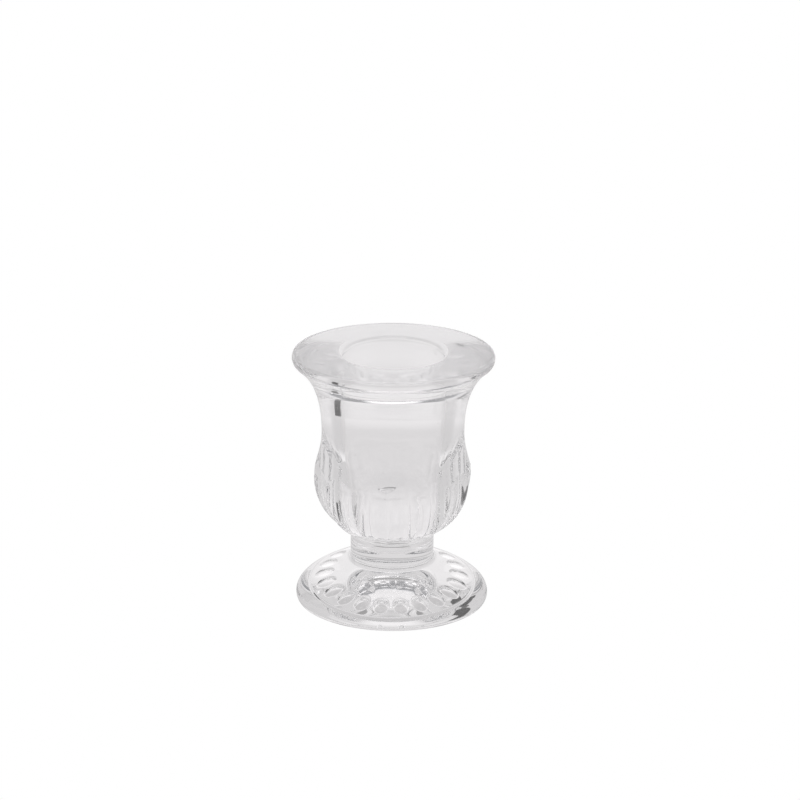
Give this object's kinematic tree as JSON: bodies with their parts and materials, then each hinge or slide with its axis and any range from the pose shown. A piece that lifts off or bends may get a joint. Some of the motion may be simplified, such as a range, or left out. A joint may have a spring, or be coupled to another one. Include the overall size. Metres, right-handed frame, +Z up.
{
  "type": "candlestick",
  "caption": "Short pressed-glass candlestick: flat-rimmed urn cup with a fluted bulb and a round socket, bonded by its stem to a domed foot dimpled underneath.",
  "frame": {"origin": "centre of the plane that the foot rests on", "axes": "+Z up along the candle's axis, out of the socket's mouth; the piece is round about +Z apart from its flutes and dimples"},
  "size_m": [0.0468, 0.0468, 0.06],
  "materials": {
    "clear_glass": "clear fire-polished pressed glass",
    "clear_adhesive": "clear cured adhesive"
  },
  "bodies": {
    "root": {"candle_cup": "clear_glass", "foot": "clear_glass", "bond_film": "clear_adhesive"}
  },
  "joints": []
}
